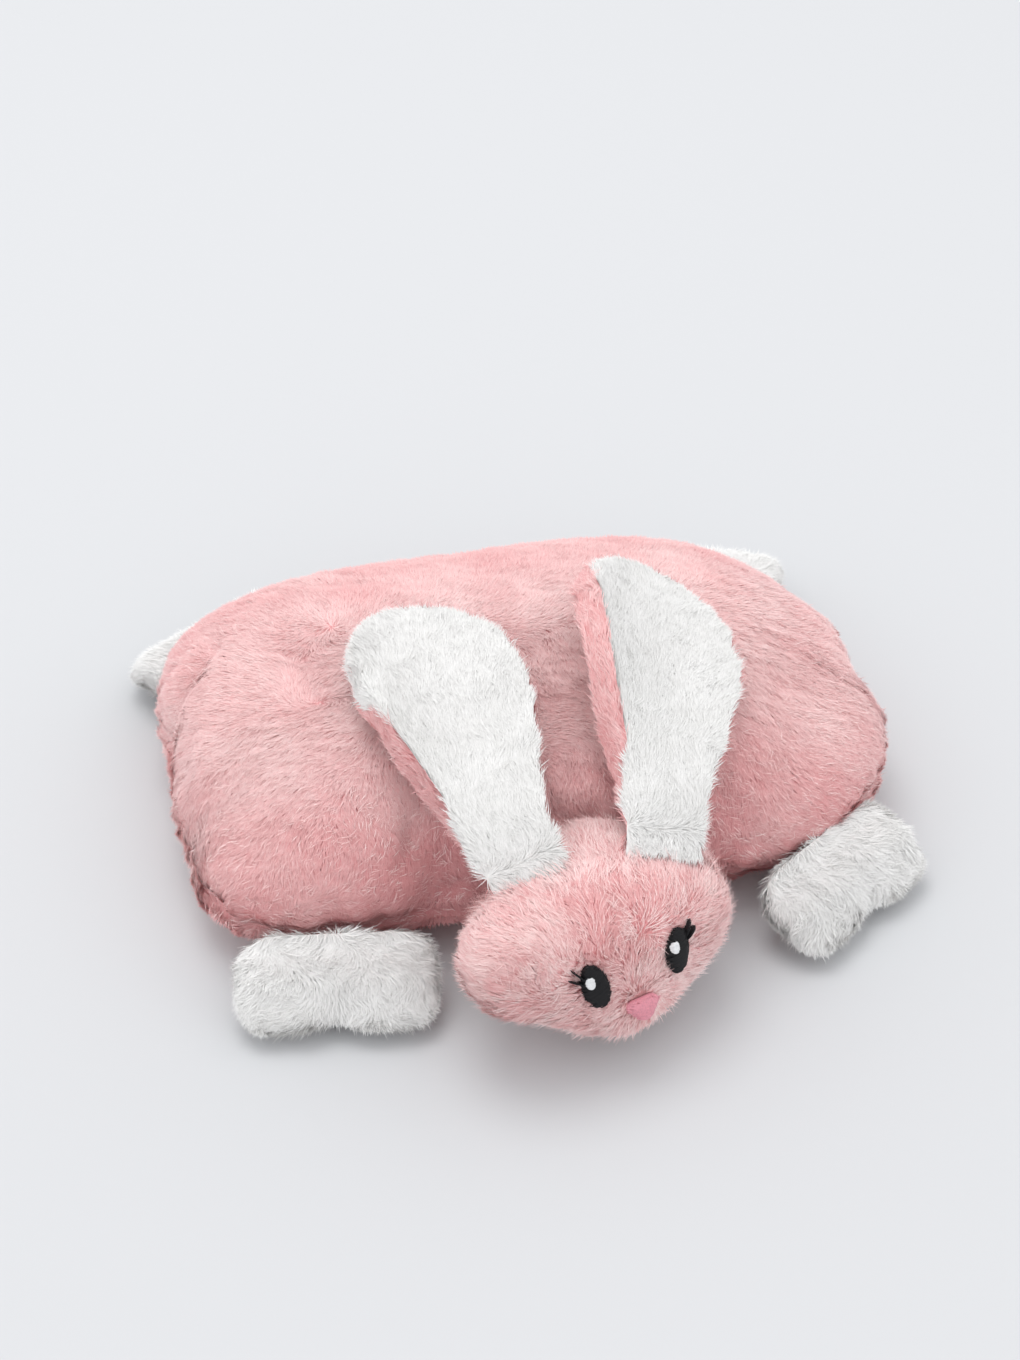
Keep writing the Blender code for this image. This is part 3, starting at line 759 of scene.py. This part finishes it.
def satin(name, centre, half, lean, slant, pitch, level, material, node, outline=None, dome=0.0011):
    """Close parallel stitches that fill a patch on the face, each an arched thread from edge to edge, over a pad."""
    outline = outline or (lambda angle: 1 + 0 * angle)
    chance = np.random.default_rng(int(abs(centre[0]) * 1e5) + int(half[1] * 1e5))
    reach = max(half) * 1.25
    rows = np.arange(-reach, reach, pitch)
    sides, knots, radius = 6, 9, pitch * 0.72
    points, corners, count = [], [], 0

    def on_face(u, v, height):
        x = centre[0] + u * math.cos(lean) - v * math.sin(lean)
        z = centre[1] + u * math.sin(lean) + v * math.cos(lean)
        return face_point(x, z) + face_normal(x, z) * np.asarray(height)[..., None]

    def edge_share(u, v):
        return np.hypot(u / half[0], v / half[1]) / outline(np.arctan2(v / half[1], u / half[0]))

    span = np.linspace(-reach, reach, 241)
    for row in rows:
        u = span * math.cos(slant) - row * math.sin(slant)
        v = span * math.sin(slant) + row * math.cos(slant)
        inside = np.flatnonzero(edge_share(u, v) < 1)
        if len(inside) < 3:
            continue
        ragged = min(0.0005, max(half) * 0.05)
        first, last = span[inside[0]] + chance.normal() * ragged, span[inside[-1]] + chance.normal() * ragged
        s = np.linspace(first, last, knots)
        u, v = s * math.cos(slant) - row * math.sin(slant), s * math.sin(slant) + row * math.cos(slant)
        arch = np.sqrt(np.clip(1 - np.linspace(-1, 1, knots) ** 4, 0, 1))
        share = np.clip(edge_share(u, v), 0, 1)
        height = level + dome * (1 - share**2) * 0.6 + dome * 0.7 * arch
        height = height - 0.0012 * (1 - arch) + chance.normal() * 0.00006
        line = on_face(u, v, height)
        normal = face_normal(centre[0] + u, centre[1] + v)
        way = unit(np.gradient(line, axis=0))
        beside = unit(np.cross(way, normal))
        above = np.cross(beside, way)
        turns = np.linspace(0, 2 * math.pi, sides, endpoint=False)
        sideways = np.cos(turns)[None, :, None] * beside[:, None]
        upwards = 0.8 * np.sin(turns)[None, :, None] * above[:, None]
        ring = line[:, None] + radius * (sideways + upwards)
        corners.append(tube_corners(count, knots, sides))
        points.append(ring.reshape(-1, 3))
        count += knots * sides
    # the pad's rings: from deep under its edge, up over it and in to the middle
    pad = ((1.0, -0.0045), (1.0, -0.0008), (0.7, 0.0002), (0.02, 0.0006))
    angles = np.linspace(0, 2 * math.pi, PAD_SIDES, endpoint=False)
    for share, above_level in pad:
        r = share * outline(angles)
        height = np.full(PAD_SIDES, level + above_level)
        points.append(on_face(half[0] * r * np.cos(angles), half[1] * r * np.sin(angles), height))
    corners.append(tube_corners(count, len(pad), PAD_SIDES))
    corners = np.concatenate(corners)
    sides_each = np.full(len(corners) // 4, 4)
    made = mesh_object(name, from_head(np.concatenate(points)), corners, sides_each, [material])
    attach(made, "head")
    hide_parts(node)


def make_face():
    for side, sign in (("left", -1), ("right", 1)):
        centre = np.array(eye_centre(sign))
        satin(f"eye_{side}_stitching", centre, EYE_HALF, -sign * EYE_LEAN, 0.25, 0.00046, STITCH_LEVEL,
              BLACK_THREAD, f"eye_{side}")
        satin(f"eye_{side}_highlight_stitching", centre + HIGHLIGHT_PLACE, HIGHLIGHT_HALF, 0, 0.0, 0.0004,
              STITCH_LEVEL + 0.0016, WHITE_THREAD, f"eye_highlight_{side}", dome=0.0006)
        for row, height, lean in LASHES:
            root = centre + (sign * (0.0096 - 0.5 * (height - 0.0054)), height)
            satin(f"eyelash_{row}_{side}_stitching", root, LASH_HALF, sign * math.radians(lean), 0.0, 0.00034,
                  STITCH_LEVEL + 0.0008, BLACK_THREAD, f"eyelash_{row}_{side}", dome=0.0006)
    satin("nose_stitching", (0.0, NOSE_HEIGHT), NOSE_HALF, 0, 0.0, 0.00048, STITCH_LEVEL + 0.0006,
          NOSE_THREAD, "nose", outline=lambda angle: 1 + 0.14 * np.cos(3 * angle - math.pi / 2))


# ---------------------------------------------------------------- ears


def make_ear(side):
    hinge, turns, twist, rolled, widened, top = EARS[side]
    turn = Euler([math.radians(t) for t in turns]).to_matrix()
    form = ear_form(twist, rolled, widened)
    places = np.concatenate((np.linspace(-0.035, 0.9, 36), np.linspace(0.92, 1, 10)))

    def panel(first, last):
        """The form between the two seams; the seam on the rolled edge lies on its crest."""

        def part(share, place, inset):
            crest = math.pi - rolled * smoothstep((top - place) / 0.3) * smoothstep(place * 3 + 0.25)
            ends = [crest if end == math.pi else end for end in (first, last)]
            return form(ends[0] + (ends[1] - ends[0]) * share, place, inset)

        return part

    across = np.array(turn)

    def nap(points, normals):
        local = (points - hinge) @ across
        upward = 2.0 * smoothstep((local[:, 1] - 0.002) / 0.014) - 1.1
        sideways = local[:, 0] / EAR_HALF_WIDTH * np.where(local[:, 0] < 0, 0.35, 0.75)
        way = np.stack((sideways, upward, 0 * local[:, 0]), -1)
        way = way + 0.22 * np.stack([ripple(local, 0.035, k) for k in (71, 72, 73)], -1)
        return way @ across.T

    for face, first, knit, pile_shades, slot, seed, level in (
        ("front", 0, WHITE_KNIT, WHITE_PILE, "white_fur", 300, 0.40),
        # the back's lower tone level, 0.34, is painted shade on the pink strip beside the white front
        ("back", math.pi, PINK_KNIT_PAINTED_SHADE, PINK_PILE, "pink_fur", 340, 0.34),
    ):
        skin = lofted(f"ear_{side}_{face}_cover", panel(first, first + math.pi), np.linspace(0, 1, 41), places,
                      0.0028, turn, hinge, [knit])
        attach(skin, f"ear_{side}")
        nodes = [f"ear_{side}_{face}"] + ([f"ear_{side}_wadding"] if face == "front" else [])
        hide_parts(*nodes)
        strand = fibres(surface_of(skin), dense(50000 if face == "front" else 34000), 0.0095, 0.26, nap,
                        seed + (side == "right"), bend=0.16, stray=0.20, tuft=0.005, gather=0.28)
        tone = tone_of(strand, seed + 5, level)
        near_root = strand[0][:, 1] < hinge[1] + 0.12
        for half, chosen in enumerate((near_root, ~near_root)):
            fibre_object(f"ear_{side}_{face}_pile_{half + 1}", part_of(strand, chosen), 0.00050, tone[chosen],
                         pile_shades, skin)
        long_hairs(f"ear_{side}_{face}_long_hairs", skin, 6500, 0.0105, 0.42, nap, seed + 10, level,
                   pile_shades)
    gather_roll(side, hinge, turn)


def gather_roll(side, hinge, turn):
    """The pleated roll of seam allowance that the ear is sewn down along."""
    places, around = np.linspace(0, 1, 41)[1:-1], np.linspace(0, 2 * math.pi, 17)

    def form(angle, place, inset):
        s = 2 * place - 1
        pleat = 1 + 0.16 * np.cos(26 * s)
        radius = (0.0022 - inset) * np.sqrt(np.clip(1 - s**6, 0, 1)) * pleat
        return np.stack((EAR_ROOT * s, radius * np.cos(angle), radius * np.sin(angle)), -1)

    roll = lofted(f"ear_{side}_gather_roll", form, around, places, 0, turn,
                  np.array(hinge) + turn @ Vector((0, -0.001, -0.010)), [PINK_KNIT_PAINTED_SHADE])
    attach(roll, "head")
    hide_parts(f"ear_{side}_gather")


# ---------------------------------------------------------------- paws and tail


def make_paw(name):
    x, y, heading = PAWS[name]
    turn = Euler((0, 0, math.radians(heading))).to_matrix()
    origin = np.array((x, y, PAW_ROOT_HEIGHT)) + PAW_SHIFT[name]
    across = np.array(turn)
    places = 0.5 - 0.5 * np.cos(np.linspace(0.06, math.pi - 0.06, 40))
    reach, inset = (0.013, 0.0012) if "back" in name else (0.008, 0.0026)

    def form(angle, place, inset):
        points = paw_form(angle, place, inset)
        root = smoothstep(1 - points[..., 1] / 0.022)  # it goes on under the cushion's seam
        points[..., 1] -= reach * root
        points[..., 2] -= 0.003 * root
        return points

    angles = np.linspace(0, 2 * math.pi, 49)
    skin = lofted(f"paw_{name}_cover", form, angles, places, inset, turn, origin, [WHITE_KNIT])
    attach(skin, f"paw_{name}")
    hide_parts(f"paw_{name}_upper", f"paw_{name}_lower", f"paw_{name}_stuffing")

    def nap(points, normals):
        local = (points - origin) @ across
        way = np.stack((local[:, 0] / PAW_WIDTH * 1.5, 0.75 + 0 * local[:, 1], 0 * local[:, 0] - 0.1), -1)
        way = way + 0.35 * np.stack([ripple(local, 0.03, k) for k in (81, 82, 83)], -1)
        return way @ across.T

    seed = 400 + 10 * sorted(PAWS).index(name)
    strand = fibres(surface_of(skin), dense(44000), 0.0100, 0.28, nap, seed,
                    bend=0.16, stray=0.26, tuft=0.004, gather=0.22)
    tone = tone_of(strand, seed + 5, 0.9)
    fibre_object(f"paw_{name}_pile", strand, 0.00050, tone, WHITE_PILE, skin)
    long_hairs(f"paw_{name}_long_hairs", skin, 8000, 0.0120, 0.45, nap, seed + 50, 0.9, WHITE_PILE)


def make_tail():
    angles, places = np.linspace(0, 2 * math.pi, 33), np.linspace(0.05, 1.78, 24)
    skin = lofted("tail_ball_cover", ball_form, angles, places, 0.003, np.eye(3), TAIL_CENTRE, [WHITE_KNIT])
    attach(skin, "tail")
    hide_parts("tail_cover", "tail_stuffing")

    def nap(points, normals):
        return np.stack([ripple(points, 0.02, k) for k in (91, 92, 93)], -1) + (0, 0.8, 0.1)

    strand = fibres(surface_of(skin), dense(9000), 0.0095, 0.45, nap, 500,
                    bend=0.2, stray=0.5, tuft=0.005, gather=0.4)
    fibre_object("tail_pile", strand, 0.00058, tone_of(strand, 505, 0.75), WHITE_PILE, skin)


make_cushion()
make_head()
make_face()
for ear in EARS:
    make_ear(ear)
for paw in PAWS:
    make_paw(paw)
make_tail()

# ---------------------------------------------------------------- studio


def make_floor():
    mesh = bpy.data.meshes.new("floor")
    mesh.from_pydata([(-9, -9, 0), (9, -9, 0), (9, 9, 0), (-9, 9, 0)], [], [(0, 1, 2, 3)])
    floor = bpy.data.objects.new("floor", mesh)
    bpy.context.scene.collection.objects.link(floor)
    material = bpy.data.materials.new("paper_floor")
    material.use_nodes = True
    shader = material.node_tree.nodes["Principled BSDF"]
    shader.inputs["Base Color"].default_value = (0.62, 0.628, 0.64, 1)
    shader.inputs["Roughness"].default_value = 0.9
    shader.inputs["Specular IOR Level"].default_value = 0.1
    mesh.materials.append(material)


def make_light(name, place, target, size, power):
    data = bpy.data.lights.new(name, "AREA")
    data.shape, data.size, data.energy = "DISK", size, power
    lamp = bpy.data.objects.new(name, data)
    lamp.location = place
    lamp.rotation_euler = (Vector(target) - Vector(place)).to_track_quat("-Z", "Y").to_euler()
    bpy.context.scene.collection.objects.link(lamp)


def make_world():
    world = bpy.data.worlds.new("studio")
    world.use_nodes = True
    background = world.node_tree.nodes["Background"]
    background.inputs["Color"].default_value = (0.96, 0.965, 0.98, 1)
    background.inputs["Strength"].default_value = 1.13
    bpy.context.scene.world = world
    bpy.context.scene.view_settings.view_transform = "Standard"


def make_camera(azimuth, elevation, distance, target, lens):
    data = bpy.data.cameras.new("camera")
    data.lens, data.sensor_width = lens, 36
    camera = bpy.data.objects.new("camera", data)
    level = math.cos(elevation)
    back = Vector((math.sin(azimuth) * level, -math.cos(azimuth) * level, math.sin(elevation)))
    camera.location = Vector(target) + back * distance
    camera.rotation_euler = (-back).to_track_quat("-Z", "Y").to_euler()
    bpy.context.scene.collection.objects.link(camera)
    bpy.context.scene.camera = camera

make_floor()
make_light("soft_box", (-0.5, 0.8, 4.0), (0, 0, 0), 2.5, 46)
make_world()
make_camera(math.radians(-12.5), math.radians(40), 1.42, (-0.0063, 0.0057, 0.0755), 62.07)
